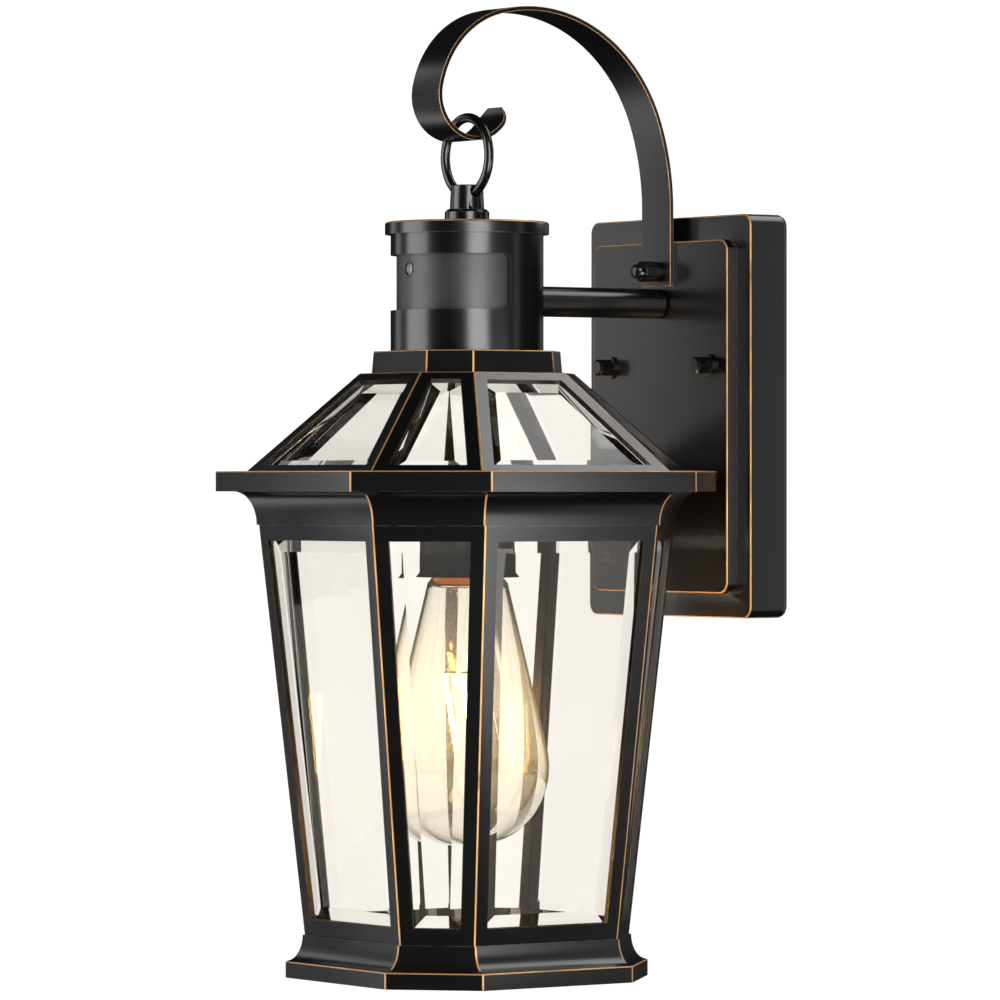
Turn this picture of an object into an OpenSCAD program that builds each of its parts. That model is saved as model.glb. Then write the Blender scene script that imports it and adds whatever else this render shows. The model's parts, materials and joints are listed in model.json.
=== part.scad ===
// Outdoor wall lantern with a motion sensor. A cast wall plate carries an arm tube and a hook strap,
// the arm holds the round sensor housing, and the eight-sided glazed lantern hangs under it.
// Frame: the origin is the centre of the wall plate's back, +Y points into the wall, +Z is up.

/* [Wall plate] */
// Width of the wall plate
plate_w = 114.3; // [110:0.1:126]
// Height of the wall plate
plate_h = 169; // [160:0.5:190]
// Depth of the wall plate's deep pan, with its gasket
plate_d = 19.4; // [17:0.1:24]
// Corner radius of the wall plate
plate_corner = 5; // [3:0.5:8]
// Width of the raised centre
raised_w = 95.3; // [90:0.1:98]
// Height of the raised centre
raised_h = 148.2; // [140:0.1:150]
// How far the raised centre stands out of the pan
raised_d = 5.2; // [4:0.1:7]
// Wall thickness of the plate casting
plate_wall = 2.4; // [2:0.1:3]
// Thickness of the foam gasket behind the plate
gasket_t = 1.6; // [1:0.1:2]

/* [Wall fixings] */
// Distance between the two studs that hold the plate
stud_spacing = 69.85; // [66:0.05:72]
// Height of the studs above the plate's centre
stud_z = 21.5; // [18:0.5:25]
// Distance between the two slots for the wall box screws
slot_spacing = 88.9; // [86:0.1:90]
// Radius of a stud's thread
stud_r = 2.08; // [1.9:0.01:2.2]
// Length of the crossbar
crossbar_l = 104; // [102:0.5:105]
// Height of the crossbar's strip
crossbar_h = 20; // [18:0.5:24]
// Thickness of the crossbar's strip
crossbar_t = 2.2; // [2:0.1:2.4]

/* [Arm and hook] */
// Distance from the wall to the lantern's upright axis
reach = 123.5; // [121:0.5:126]
// Height of the arm above the plate's centre
arm_z = 48; // [46:0.5:50]
// Outer radius of the arm tube
arm_r = 6.35; // [6:0.05:7]
// Width of the hook strap
strap_w = 20.4; // [16:0.1:22]
// Thickness of the hook strap
strap_t = 1.8; // [1.5:0.1:3]
// Height of the thumb screw that holds the hook's foot
hook_screw_z = 61.6; // [61:0.1:64]

/* [Sensor housing] */
// Outer radius of the sensor housing
housing_r = 31.75; // [31:0.05:33]
// Height of the sensor housing
housing_h = 48.4; // [47:0.1:52]
// Radius of the top cap
cap_r = 34.1; // [33.5:0.1:36]
// Thickness of the top cap's rim
cap_h = 5.2; // [5:0.1:6]
// Height of the sensor lens opening
lens_h = 22.9; // [20:0.1:24]
// Radius of the photocell port
port_r = 3.5; // [3:0.1:3.8]

/* [Hanging ring] */
// Radius of the ring to the middle of its wire
ring_r = 16; // [15.5:0.1:16.5]
// Radius of the ring's wire
ring_wire_r = 2; // [1.8:0.1:2.1]

/* [Roof] */
// Axis to wide face at the collar's top
collar_top_a = 33.5; // [32:0.1:34]
// Axis to wide face at the collar's foot, which is the same corner rule as the roof
collar_foot_a = 34.2; // [33:0.1:36]
// Height of the collar
collar_h = 9.2; // [8:0.1:10]
// Axis to wide face at the roof's top
roof_top_a = 38.4; // [37:0.1:40]
// Axis to wide face at the roof's foot
roof_foot_a = 78.6; // [77:0.1:80]
// Height of the roof
roof_h = 40.5; // [38:0.1:43]
// Axis to wide face at the eave band
eave_a = 91.4; // [90:0.1:93]
// Height of the eave band
eave_band_h = 8.4; // [8:0.1:9]
// Height of the cove under the eave band
cove_h = 13.8; // [13:0.1:15]

/* [Glazed body] */
// Axis to wide face at the body's top
body_top_a = 75.3; // [74:0.1:76]
// Axis to wide face at the body's foot
body_foot_a = 57.3; // [56:0.1:59]
// Height of the body frame
body_h = 170; // [165:0.5:175]
// Width of the frame beside a corner
stile_w = 6; // [5.5:0.1:7]
// Height of the body frame's top rail
top_rail = 6.4; // [6:0.1:8]
// Height of the body frame's bottom rail
bottom_rail = 6.9; // [6.5:0.1:8]
// Thickness of a frame's wall
frame_t = 2.4; // [2:0.1:2.6]
// Thickness of a pane
pane_t = 3; // [2.6:0.1:3.2]
// Axis to wide face at the base band
base_a = 65.7; // [65:0.1:67]
// Height of the base's cove
base_cove_h = 10.6; // [10:0.1:12]
// Height of the base band
base_band_h = 6.8; // [6:0.1:8]

/* [Bulb and socket] */
// Height of the socket cup's lip, under the plate's centre
lip_drop = 66.8; // [64:0.1:70]
// Radius of the socket cup
cup_r = 19.5; // [19.2:0.1:21]
// Largest radius of the bulb
bulb_r = 33.35; // [30:0.05:34]
// Distance from the socket cup's lip to the bulb's widest place
bulb_drop = 78.7; // [74:0.1:80]

/* [Hidden] */
$fn = 96;
eps = 0.01;
gap = 0.1;                       // face gap under a part that turns

// Finishes
black_metal = [0.05, 0.05, 0.055];
dark_plastic = [0.03, 0.03, 0.035];
zinc = [0.72, 0.73, 0.75];
clear_glass = [0.93, 0.91, 0.86, 0.35];

// Heights, from the arm downwards and upwards
housing_z0 = arm_z - 21.3;
housing_z1 = housing_z0 + housing_h;
cap_z1 = housing_z1 + cap_h;
collar_z0 = housing_z0 - collar_h;
roof_z0 = collar_z0 - roof_h;
band_z0 = roof_z0 - eave_band_h;
body_z1 = band_z0 - cove_h;
body_z0 = body_z1 - body_h;
base_band_z1 = body_z0 - base_cove_h;
base_z0 = base_band_z1 - base_band_h;
lip_z = -lip_drop;
bulb_z = lip_z - bulb_drop;

// Wall plate
plate_front = -plate_d;
raised_front = -plate_d - raised_d;
cavity_front = raised_front + plate_wall;

// Hook strap: foot, then arcs [radius, turn] that all turn the same way
strap_y = raised_front - strap_t / 2;
foot_z0 = arm_z + arm_r + 1;
foot_z1 = arm_z + 39.7;
strap_arcs = [[108, 19.7], [68.7, 84.3], [40.7, 65.3], [17.7, 177]];
hook_hole_r = 2.25;
hook_shank_r = 2;

// Arm tube
arm_end_r = 4.9;
arm_bore_r = 3.6;
arm_nut_t = 3;
housing_wall = 2.35;
boss_y = 27.2;                   // face of the housing's inner boss, from the lantern's axis

// Stem and ring
stem_flange_h = 5.3;
stem_top = cap_z1 + stem_flange_h + 10.1;
ring_pivot_z = stem_top - 4.1;
shank_r = 3;

// Lens opening
lens_z = housing_z0 + 28.3;      // middle of the opening
port_z = lens_z + 5.4;
lens_r = housing_r - housing_wall - 0.1;
board_y = -6;

stud_reach = 5;                // stud length outside the plate
slot_l = 9;
slot_r = 2.4;
ground_x = 14;
ground_r = 2;

// Driver module, from the lantern's axis
module_w = 26;
module_y0 = -3;
module_y1 = 17;
module_h = 26;
module_z0 = arm_z - 10;

// Nipple and socket
nipple_nut_t = 3.2;
nipple_z0 = lip_z + 34.4;
nipple_z1 = housing_z0 + 8;
cup_z1 = lip_z + 40;
cup_wall = 1.2;
body_top_z = lip_z + 33.4;
shell_r = 14.3;
contact_z = lip_z + 28;

// Bulb
neck_r = 16.4;
neck_z = lip_z - 3.5;
cap_end_z = lip_z + 24;
filament_count = 6;
filament_top_r = 9;
filament_foot_r = 4;
ring_z = neck_z - 35;            // upper ends of the filaments
foot_ring_z = ring_z - 35;       // lower ends of the filaments

// Frames
overlap = 3;                     // how far a body pane reaches behind its frame
roof_overlap = 2;
roof_stile = 6;
roof_top_rail = 4.5;
roof_foot_rail = 3.5;
roof_pane_t = 2.4;
bevel_w = 5;
lug_w = 12;
lug_d = 12.5;
lug_h = 2.6;
flange_w = 13;
screw_in = 9;
screw_r = 1.5;
cove_steps = 10;
cove_top_a = eave_a - 6.9;
cove_foot_a = body_top_a + 0.6;
base_top_a = body_foot_a + 1;

// Half length of the wide face on the outer corner line, by axis distance
function wide_half(a) = 0.394 * a + 12.93;
function roof_half(a) = 0.594 * a - 0.1;
function eave_half(a) = 0.46 * a + 8.6;
function base_half(a) = 0.2 * a + 24.06;

// The eight corners of a square plan with cut corners: a to the wide face, b half its length
function octagon(a, b) = [[b, -a], [a, -b], [a, b], [b, a], [-b, a], [-a, b], [-a, -b], [-b, -a]];

// A ring moved inwards by t, square to every face
function inset(r, t) = [r[0] - t, r[1] - t * (sqrt(2) - 1), r[2]];

// Face k of a ring: even faces are wide, odd ones narrow
function face_dist(r, k) = k % 2 == 0 ? r[0] : (r[0] + r[1]) / sqrt(2);
function face_half(r, k) = k % 2 == 0 ? r[1] : (r[0] - r[1]) / sqrt(2);

body_top = [body_top_a, wide_half(body_top_a), body_z1];
body_foot = [body_foot_a, wide_half(body_foot_a), body_z0];
roof_top = [roof_top_a, roof_half(roof_top_a), collar_z0];
roof_foot = [roof_foot_a, roof_half(roof_foot_a), roof_z0];

roof_wall = frame_t * slope_length(roof_foot, roof_top, 0) / roof_h;
// Depth of the roof frame's wall, square to face k
function roof_depth(k) = roof_wall * roof_h / slope_length(roof_foot, roof_top, k);

module on_axis() {
    translate([0, -reach, 0]) children();
}

// A cylinder along Y from y0 to y1
module rod_y(r, y0, y1) {
    translate([0, y1, 0]) rotate([90, 0, 0]) cylinder(r = r, h = y1 - y0);
}

// A hexagon nut along Z, standing on z = 0
module hex_nut(across, h, bore) {
    difference() {
        cylinder(d = across / cos(30), h = h, $fn = 6);
        translate([0, 0, -1]) cylinder(r = bore, h = h + 2);
    }
}

// The same along Y, from y0 towards +Y
module hex_nut_y(across, h, bore, y0) {
    translate([0, y0, 0]) rotate([-90, 30, 0]) hex_nut(across, h, bore);
}

module rounded_rect(w, h, r) {
    union() {
        square([w - 2 * r, h], center = true);
        square([w, h - 2 * r], center = true);
        for (x = [-1, 1], y = [-1, 1]) translate([x * (w / 2 - r), y * (h / 2 - r)]) circle(r);
    }
}

// A rounded slab in the X-Z plane, from y0 to y1
module slab(w, h, r, y0, y1) {
    translate([0, y1, 0]) rotate([90, 0, 0]) linear_extrude(y1 - y0) rounded_rect(w, h, r);
}

// A closed band of eight-sided rings: down the outside, then up the inside
module oct_band(rings) {
    n = len(rings);
    points = [for (r = rings, p = octagon(r[0], r[1])) [p[0], p[1], r[2]]];
    faces = [for (i = [0:n - 1], k = [0:7])
        let (j = (i + 1) % n, m = (k + 1) % 8) [i * 8 + k, i * 8 + m, j * 8 + m, j * 8 + k]];
    polyhedron(points, faces, convexity = 6);
}

// Face coordinates of a tapered frame: X along the face, Y up its slope, Z outwards
module on_face(foot, top, k) {
    rise = top[2] - foot[2];
    lean = face_dist(top, k) - face_dist(foot, k);
    rotate([0, 0, 45 * k]) translate([0, -face_dist(foot, k), foot[2]])
        rotate([90 + atan2(lean, rise), 0, 0]) children();
}
function slope_length(foot, top, k) =
    norm([top[2] - foot[2], face_dist(top, k) - face_dist(foot, k)]);

// The outline between two heights v0 and v1 on face k, kept m away from the corner lines
function face_outline(foot, top, k, v0, v1, m) =
    let (l = slope_length(foot, top, k), h0 = face_half(foot, k), h1 = face_half(top, k),
         w0 = h0 + (h1 - h0) * v0 / l - m, w1 = h0 + (h1 - h0) * v1 / l - m)
    [[-w0, v0], [w0, v0], [w1, v1], [-w1, v1]];

module tapered_frame(foot, top, t, stile, foot_rail, head_rail) {
    difference() {
        oct_band([top, foot, inset(foot, t), inset(top, t)]);
        for (k = [0:7]) on_face(foot, top, k)
            translate([0, 0, -12]) linear_extrude(24)
                polygon(face_outline(foot, top, k, foot_rail, slope_length(foot, top, k) - head_rail, stile));
    }
}

// A pane behind a window, with a bevel all round its outer face
module pane(foot, top, k, depth, t, v0, v1, m, edge) {
    outline = face_outline(foot, top, k, v0, v1, m);
    inner = face_outline(foot, top, k, v0 + edge, v1 - edge, m + edge);
    points = [for (p = outline) [p[0], p[1], -depth - t],
              for (p = outline) [p[0], p[1], -depth - t / 2],
              for (p = inner) [p[0], p[1], -depth]];
    sides = [for (s = [0, 4], i = [0:3]) let (j = (i + 1) % 4) [s + i, s + 4 + i, s + 4 + j, s + j]];
    on_face(foot, top, k) polyhedron(points, concat([[0, 1, 2, 3]], sides, [[11, 10, 9, 8]]));
}

module wall_plate() {
    color(black_metal) difference() {
        union() {
            slab(plate_w, plate_h, plate_corner, plate_front, -gasket_t);
            slab(raised_w, raised_h, plate_corner, raised_front, plate_front + eps);
        }
        slab(plate_w - 2 * plate_wall, plate_h - 2 * plate_wall, plate_corner - plate_wall,
            plate_front + plate_wall, 1);
        slab(raised_w - 2 * plate_wall, raised_h - 2 * plate_wall, plate_corner - plate_wall,
            cavity_front, plate_front + plate_wall + eps);
        for (x = [-1, 1]) translate([x * stud_spacing / 2, 0, stud_z])
            rod_y(stud_r + 0.5, raised_front - 1, cavity_front + 1);
        translate([0, 0, arm_z]) rod_y(arm_end_r, raised_front - 1, cavity_front + 1);
        translate([0, 0, hook_screw_z]) rod_y(hook_hole_r, raised_front - 1, cavity_front + 1);
    }
}

module wall_gasket() {
    outer_w = plate_w - 1;
    outer_h = plate_h - 1;
    strip = 3.8;
    color(dark_plastic) difference() {
        slab(outer_w, outer_h, plate_corner, -gasket_t, 0);
        slab(outer_w - 2 * strip, outer_h - 2 * strip, 1.2, -gasket_t - 1, 1);
    }
}

module crossbar() {
    color(zinc) translate([0, 0, stud_z]) difference() {
        slab(crossbar_l, crossbar_h, 3, -crossbar_t, 0);
        rod_y(arm_end_r, -crossbar_t - 1, 1);
        translate([ground_x, 0, 0]) rod_y(ground_r, -crossbar_t - 1, 1);
        for (x = [-1, 1]) {
            translate([x * stud_spacing / 2, 0, 0]) rod_y(stud_r, -crossbar_t - 1, 1);
            translate([x * slot_spacing / 2, 0, 0]) for (e = [-1, 1])
                translate([e * (slot_l / 2 - slot_r), 0, 0]) rod_y(slot_r, -crossbar_t - 1, 1);
            translate([x * slot_spacing / 2, 0, 0])
                cube([slot_l - 2 * slot_r, 3 * crossbar_t, 2 * slot_r], center = true);
        }
    }
}

module crossbar_studs() {
    color(zinc) for (x = [-1, 1]) translate([x * stud_spacing / 2, 0, stud_z])
        rod_y(stud_r, raised_front - stud_reach, 0);
}

module stud_nuts() {
    color(zinc) for (x = [-1, 1]) translate([x * stud_spacing / 2, 0, stud_z])
        hex_nut_y(8.7, 3.2, stud_r, -crossbar_t - 3.2);
}

module ground_screw() {
    head_y = -crossbar_t - 2.4;
    color("green") translate([ground_x, 0, stud_z]) difference() {
        union() {
            rod_y(ground_r, head_y, 0);
            rod_y(3.6, head_y, -crossbar_t);
        }
        translate([0, head_y, 0]) cube([8, 2, 0.9], center = true);
    }
}

// A cap nut: round flange, six-sided barrel with a chamfered nose, blind bore
module cap_nut() {
    face = raised_front - gap;
    nut_l = 7.6;
    difference() {
        union() {
            rod_y(4.75, face - 1.2, face);
            translate([0, face - 1.1, 0]) rotate([90, 0, 0]) intersection() {
                cylinder(r = 3.9, h = nut_l - 1.1, $fn = 6);
                cylinder(r1 = nut_l + 2.5, r2 = 2.6, h = nut_l - 1.1);
            }
        }
        rod_y(stud_r + 0.05, face - stud_reach - 0.6, face + 1);
    }
}

module cap_nut_left() {
    color(black_metal) translate([-stud_spacing / 2, 0, stud_z]) cap_nut();
}

module cap_nut_right() {
    color(black_metal) translate([stud_spacing / 2, 0, stud_z]) cap_nut();
}

// One arc of the strap's side view, from angle a0 through turn, centred on the origin
module arc_band(r, a0, turn) {
    far = 3 * r;
    intersection() {
        difference() {
            circle(r + strap_t / 2);
            circle(r - strap_t / 2);
        }
        polygon(concat([[0, 0]], [for (i = [0:4]) far * [cos(a0 + turn * i / 4), sin(a0 + turn * i / 4)]]));
    }
}

// Where arc i of the strap starts, as a point on its middle line, and its heading there
function heading(i) = i == 0 ? 90 : heading(i - 1) + strap_arcs[i - 1][1];
function arc_centre(i) = arc_start(i) + strap_arcs[i][0] * [cos(heading(i) + 90), sin(heading(i) + 90)];
function arc_start(i) = i == 0 ? [strap_y, foot_z1]
    : arc_centre(i - 1) + strap_arcs[i - 1][0] * [cos(heading(i) - 90), sin(heading(i) - 90)];

// Puts a Y-Z drawing on its side, so that its thickness runs along X
module along_x(w) {
    rotate([90, 0, 90]) linear_extrude(w, center = true) children();
}

module hook_strap() {
    last = len(strap_arcs) - 1;
    tip = heading(last + 1);
    tip_r = strap_w / 2 + 0.4;       // a little more than half the width, so the sides end in a clear corner
    nose_turn = tip_r / strap_arcs[last][0] * 180 / PI;
    nose = tip - nose_turn;
    nose_at = arc_centre(last) + strap_arcs[last][0] * [cos(nose - 90), sin(nose - 90)];
    color(black_metal) difference() {
        along_x(strap_w) {
            translate([strap_y - strap_t / 2, foot_z0]) square([strap_t, foot_z1 - foot_z0 + eps]);
            for (i = [0:last]) translate(arc_centre(i))
                arc_band(strap_arcs[i][0], heading(i) - 90, strap_arcs[i][1] + eps);
        }
        translate([0, 0, hook_screw_z]) rod_y(hook_hole_r, strap_y - 5, strap_y + 5);
        translate([0, nose_at[0], nose_at[1]]) rotate([nose - nose_turn * 0.1 - 90, 0, 0]) rotate([90, 0, 0])
            linear_extrude(16, center = true) difference() {
                translate([-strap_w, 0]) square([2 * strap_w, strap_w]);
                circle(tip_r);
            }
    }
}

module hook_screw() {
    seat = strap_y - strap_t / 2 - gap;
    barrel_l = 7.6;
    head_r = 4.4;
    knurls = 18;
    color(black_metal) translate([0, 0, hook_screw_z]) difference() {
        union() {
            rod_y(hook_shank_r, seat - 1, cavity_front + 7);
            rod_y(head_r - 0.5, seat - 1.5, seat);
            difference() {
                rod_y(head_r, seat - barrel_l, seat - 1.4);
                for (i = [0:knurls - 1]) rotate([0, i * 360 / knurls, 0]) translate([head_r + 0.25, 0, 0])
                    rod_y(0.6, seat - barrel_l + 0.8, seat - 2.2);
            }
            translate([0, seat - barrel_l, 0]) intersection() {
                scale(head_r) sphere(1);
                rod_y(head_r + 1, -3.2, eps);
            }
        }
        translate([0, seat - barrel_l - 3, 0]) rotate([0, 15, 0]) cube([12, 3.2, 1], center = true);
    }
}

module hook_nut() {
    color(zinc) translate([0, 0, hook_screw_z]) hex_nut_y(7, 3.2, hook_shank_r + 0.05, cavity_front);
}

module arm_tube() {
    saddle = -reach + housing_r - 0.8;
    color(black_metal) translate([0, 0, arm_z]) difference() {
        union() {
            difference() {
                union() {
                    rod_y(arm_r, saddle, raised_front - 1);
                    translate([0, raised_front - 1, 0]) rotate([-90, 0, 0])
                        cylinder(r1 = arm_r, r2 = arm_r - 1, h = 1);
                }
                on_axis() cylinder(r = housing_r, h = 60, center = true);
            }
            rod_y(arm_end_r, -reach + boss_y - 6, cavity_front + arm_nut_t + 5);
        }
        rod_y(arm_bore_r, -reach, 0);
    }
}

module arm_nuts() {
    color(zinc) translate([0, 0, arm_z]) {
        hex_nut_y(14, arm_nut_t, arm_end_r, cavity_front);
        hex_nut_y(14, arm_nut_t, arm_end_r, -reach + boss_y - arm_nut_t);
    }
}

module sensor_housing() {
    window_r = 3;
    inner_r = housing_r - housing_wall;
    color(black_metal) on_axis() difference() {
        union() {
            difference() {
                translate([0, 0, housing_z0]) cylinder(r = housing_r, h = housing_h);
                translate([0, 0, housing_z0 + 2.5]) cylinder(r = inner_r, h = housing_h);
            }
            intersection() {
                translate([0, 0, arm_z]) rod_y(11, boss_y, housing_r);
                translate([0, 0, housing_z0]) cylinder(r = inner_r + 0.5, h = housing_h);
            }
        }
        translate([0, 0, lens_z]) rotate([90, 0, 90]) linear_extrude(80, center = true)
            translate([-20, 0]) rounded_rect(40, lens_h, window_r);
        translate([0, 0, housing_z0 - 1]) cylinder(r = arm_end_r, h = 5);
        translate([0, 0, arm_z]) rod_y(arm_end_r, boss_y - 1, housing_r + 1);
    }
}

module sensor_lens() {
    lens_t = 1.1;
    height = lens_h + 3;
    color(dark_plastic) on_axis() translate([0, 0, lens_z - height / 2]) difference() {
        cylinder(r = lens_r, h = height);
        translate([0, 0, -1]) cylinder(r = lens_r - lens_t, h = height + 2);
        translate([-40, 5, -1]) cube([80, 40, height + 2]);
        translate([0, 0, port_z - lens_z + height / 2]) rod_y(port_r, -lens_r - 1, 0);
    }
}

// The photocell sits in the lens's port, on a stalk from the board
module photocell() {
    face = -lens_r - 0.15;
    color(dark_plastic) on_axis() translate([0, 0, port_z]) difference() {
        union() {
            rod_y(port_r, face, -lens_r + 4);
            rod_y(2.2, -lens_r + 3, board_y);
        }
        rod_y(port_r - 0.7, face - 1, face + 0.3);
    }
}

module sensor_board() {
    color("darkgreen") on_axis() translate([-20, board_y, lens_z - 14]) cube([40, 1.6, 28]);
}

module motion_sensor() {
    color(zinc) on_axis() translate([0, 0, lens_z - 4]) {
        rod_y(4.6, board_y - 1, board_y);
        rod_y(4.1, board_y - 4.5, board_y - 1);
    }
}

module driver_module() {
    color(dark_plastic) on_axis() translate([-module_w / 2, module_y0, module_z0])
        cube([module_w, module_y1 - module_y0, module_h]);
}

module top_cap() {
    rim = 1.2;
    color(black_metal) on_axis() translate([0, 0, housing_z1]) difference() {
        rotate_extrude() union() {
            square([cap_r, cap_h - rim]);
            square([cap_r - rim, cap_h]);
            translate([cap_r - rim, cap_h - rim]) circle(rim);
            translate([lens_r - 2, -3.5]) square([2, 4]);
        }
        translate([0, 0, -4]) cylinder(r = lens_r - 2, h = 4 + cap_h - 2.5);
        cylinder(r = shank_r, h = cap_h + 1);
    }
}

module stem() {
    flange_r = 9.3;
    bevel = 1.2;
    hole_r = ring_wire_r + 0.6;
    color(black_metal) on_axis() difference() {
        rotate_extrude() polygon([[0, cap_z1 - 10], [shank_r, cap_z1 - 10], [shank_r, cap_z1],
            [flange_r, cap_z1], [flange_r, cap_z1 + stem_flange_h - bevel],
            [flange_r - bevel, cap_z1 + stem_flange_h], [7.2, cap_z1 + stem_flange_h],
            [6.7, stem_top - 0.4], [6.3, stem_top], [0, stem_top]]);
        translate([0, 0, ring_pivot_z + ring_r]) rotate([90, 0, 0]) rotate_extrude()
            translate([ring_r, 0]) circle(hole_r);
    }
}

module stem_nut() {
    color(zinc) on_axis() translate([0, 0, cap_z1 - 2.5 - 4]) hex_nut(10, 4, shank_r);
}

module hanging_ring() {
    color(black_metal) on_axis() translate([0, 0, ring_pivot_z + ring_r]) rotate([90, 0, 0])
        rotate_extrude() translate([ring_r, 0]) circle(ring_wire_r, $fn = 48);
}

module roof_collar() {
    wall = 2.2;
    top = [collar_top_a, roof_half(collar_top_a), housing_z0];
    foot = [collar_foot_a, roof_half(collar_foot_a), collar_z0];
    inner = inset(foot, wall);
    color(black_metal) on_axis() difference() {
        union() {
            oct_band([top, foot, inner, [inner[0], inner[1], housing_z0]]);
            translate([0, 0, housing_z0 - wall]) linear_extrude(wall) polygon(octagon(inner[0], inner[1]));
        }
        translate([0, 0, housing_z0 - 5]) cylinder(r = arm_end_r, h = 10);
    }
}

module roof_frame() {
    top_plate = 2;
    plate_ring = inset(roof_top, 1);
    color(black_metal) on_axis() difference() {
        union() {
            tapered_frame(roof_foot, roof_top, roof_wall, roof_stile, roof_foot_rail, roof_top_rail);
            translate([0, 0, collar_z0 - top_plate]) linear_extrude(top_plate)
                polygon(octagon(plate_ring[0], plate_ring[1]));
        }
        translate([0, 0, collar_z0 - 5]) cylinder(r = arm_end_r, h = 10);
    }
}

module roof_pane(k) {
    l = slope_length(roof_foot, roof_top, k);
    color(clear_glass) on_axis() pane(roof_foot, roof_top, k, roof_depth(k) + 0.05, roof_pane_t,
        roof_foot_rail - roof_overlap, l - roof_top_rail + roof_overlap, roof_stile - roof_overlap,
        bevel_w + roof_overlap);
}

module body_pane(k) {
    l = slope_length(body_foot, body_top, k);
    color(clear_glass) on_axis() pane(body_foot, body_top, k, frame_t + 0.05, pane_t,
        bottom_rail - overlap, l - top_rail + overlap, stile_w - overlap, bevel_w + overlap);
}

// Points along a quarter of an ellipse: from [a0, z0] upright to [a1, z1] level
function cove(a0, z0, a1, z1, half) = [for (t = [0:cove_steps])
    let (s = 90 * t / cove_steps, a = a1 + (a0 - a1) * cos(s)) [a, half == 0 ? eave_half(a) : base_half(a),
        z0 + (z1 - z0) * sin(s)]];
function shift(rings, t, dz) = [for (r = rings) let (i = inset(r, t)) [i[0], i[1], r[2] + dz]];
function reversed(list) = [for (i = [len(list) - 1:-1:0]) list[i]];
function level(a, z, half) = [a, half == 0 ? eave_half(a) : base_half(a), z];

module eave_moulding() {
    wall = 2.2;
    curve = cove(cove_foot_a, body_z1, cove_top_a, band_z0, 0);
    foot = curve[0];
    band_in = inset(level(eave_a, 0, 0), wall);
    rim_in = inset(roof_foot, 2.1);
    flange = inset(foot, flange_w);
    color(black_metal) on_axis() difference() {
        oct_band(concat(
            [level(eave_a, roof_z0, 0), level(eave_a, band_z0, 0)],
            reversed(curve),
            [flange, [flange[0], flange[1], body_z1 + wall]],
            shift(curve, wall, wall),
            [[band_in[0], band_in[1], band_z0 + wall], [band_in[0], band_in[1], roof_z0 - wall],
             [rim_in[0], rim_in[1], roof_z0 - wall], [rim_in[0], rim_in[1], roof_z0]]));
        at_corners(face_dist(body_top, 1) - screw_in) translate([0, 0, body_z1 - 1])
            cylinder(r = screw_r, h = 5);
    }
}

// The four narrow faces, at distance d from the axis
module at_corners(d) {
    for (k = [0:3]) rotate([0, 0, 45 + 90 * k]) translate([0, -d, 0]) children();
}

module body_frame() {
    color(black_metal) on_axis() difference() {
        union() {
            tapered_frame(body_foot, body_top, frame_t, stile_w, bottom_rail, top_rail);
            at_corners(face_dist(body_top, 1)) translate([-lug_w / 2, 1.6, body_z1 - lug_h])
                cube([lug_w, lug_d - 1.6, lug_h]);
            at_corners(face_dist(body_foot, 1)) translate([-lug_w / 2, 1.6, body_z0])
                cube([lug_w, lug_d - 1.6, lug_h]);
        }
        at_corners(face_dist(body_top, 1) - screw_in) translate([0, 0, body_z1 - lug_h - 1])
            cylinder(r = screw_r, h = lug_h + 2);
        at_corners(face_dist(body_foot, 1) - screw_in) translate([0, 0, body_z0 - 1])
            cylinder(r = screw_r, h = lug_h + 2);
    }
}

module base_moulding() {
    wall = 2.2;
    curve = cove(base_top_a, body_z0, base_a, base_band_z1, 1);
    band_in = inset(level(base_a, 0, 1), wall);
    flange = inset(curve[0], flange_w);
    color(black_metal) on_axis() difference() {
        oct_band(concat(
            curve,
            [level(base_a, base_z0, 1), [band_in[0], band_in[1], base_z0]],
            reversed(shift(curve, wall, -wall)),
            [[flange[0], flange[1], body_z0 - wall], [flange[0], flange[1], body_z0]]));
        at_corners(face_dist(body_foot, 1) - screw_in) translate([0, 0, body_z0 - 5])
            cylinder(r = screw_r, h = 10);
    }
}

module frame_screws() {
    head_h = 1.8;
    head_r = 2.5;
    color(zinc) on_axis() {
        at_corners(face_dist(body_top, 1) - screw_in) translate([0, 0, body_z1 - lug_h]) {
            cylinder(r = screw_r, h = lug_h + 2.2);
            translate([0, 0, -head_h]) cylinder(r = head_r, h = head_h);
        }
        at_corners(face_dist(body_foot, 1) - screw_in) translate([0, 0, body_z0 - 2.2]) {
            cylinder(r = screw_r, h = lug_h + 2.2);
            translate([0, 0, -head_h]) cylinder(r = head_r, h = head_h);
        }
    }
}

// A bent clip that holds a pane's edge, drawn e away from the end of its face
module pane_clip(e) {
    sheet = 0.8;
    rail = -frame_t - 0.05;
    over = rail - pane_t - 0.1;
    rotate([90, 0, 90]) linear_extrude(4, center = true) polygon([
        [e - 2.3, rail], [e - 2.3, rail - sheet], [e - 1.3, rail - sheet], [e - 1.3, over - sheet],
        [e + 2.6, over - sheet], [e + 2.6, over], [e - 0.5, over], [e - 0.5, rail]]);
}

module pane_clips() {
    color(zinc) on_axis() for (k = [0:7]) on_face(body_foot, body_top, k) {
        l = slope_length(body_foot, body_top, k);
        for (side = [-1, 1]) translate([side * (k % 2 == 0 ? 18 : 9), 0, 0]) {
            pane_clip(bottom_rail - overlap);
            translate([0, l, 0]) mirror([0, 1, 0]) pane_clip(top_rail - overlap);
        }
    }
}

module threaded_nipple() {
    color(zinc) on_axis() difference() {
        translate([0, 0, nipple_z0]) cylinder(r = arm_end_r, h = nipple_z1 - nipple_z0);
        translate([0, 0, nipple_z0 - 1]) cylinder(r = arm_bore_r, h = nipple_z1 - nipple_z0 + 2);
    }
}

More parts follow.
